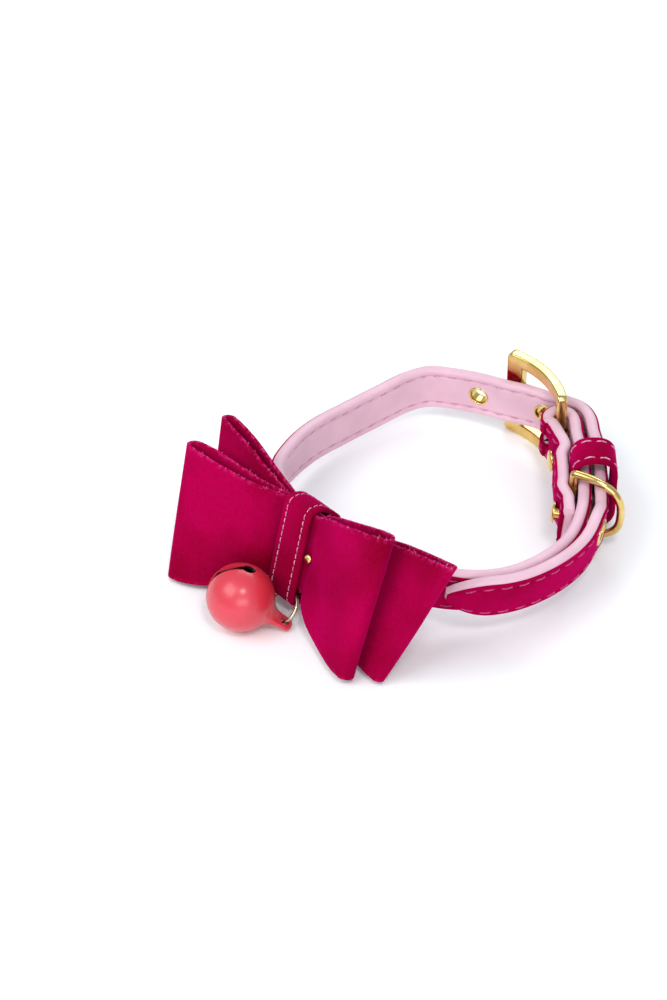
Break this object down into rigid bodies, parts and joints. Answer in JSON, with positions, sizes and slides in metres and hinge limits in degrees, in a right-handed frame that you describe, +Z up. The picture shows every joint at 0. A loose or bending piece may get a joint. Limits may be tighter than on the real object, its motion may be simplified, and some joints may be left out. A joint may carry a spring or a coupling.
{
  "type": "pet bow tie collar",
  "caption": "Buckled velvet pet collar with a layered bow tie, a jingle bell on a jump ring, a keeper loop and a D-ring.",
  "frame": {"origin": "middle of the bounding box, on the surface that the buckled collar lies on", "axes": "+Z up from that surface, +Y from the bow towards the buckle, +X towards the folded end with the keeper and the D-ring"},
  "size_m": [0.069, 0.0902, 0.0302],
  "materials": {
    "velvet": "short-pile velvet",
    "lining": "smooth pink leatherette",
    "brass": "polished pale gold",
    "coral": "satin enamel",
    "steel": "plain"
  },
  "bodies": {
    "root": {"strap_lining": "lining", "strap_velvet": "velvet", "buckle_frame": "brass", "buckle_prong": "brass", "eyelet_1": "brass", "eyelet_2": "brass", "eyelet_3": "brass", "eyelet_4": "brass", "eyelet_5": "brass", "strap_rivet_1": "brass", "strap_rivet_2": "brass", "keeper_loop": "velvet", "d_ring": "brass", "bow_back": "velvet", "bow_front": "velvet", "bow_band": "velvet", "bow_rivet": "brass", "bell": "coral", "bell_ball": "steel", "jump_ring": "brass"}
  },
  "joints": []
}
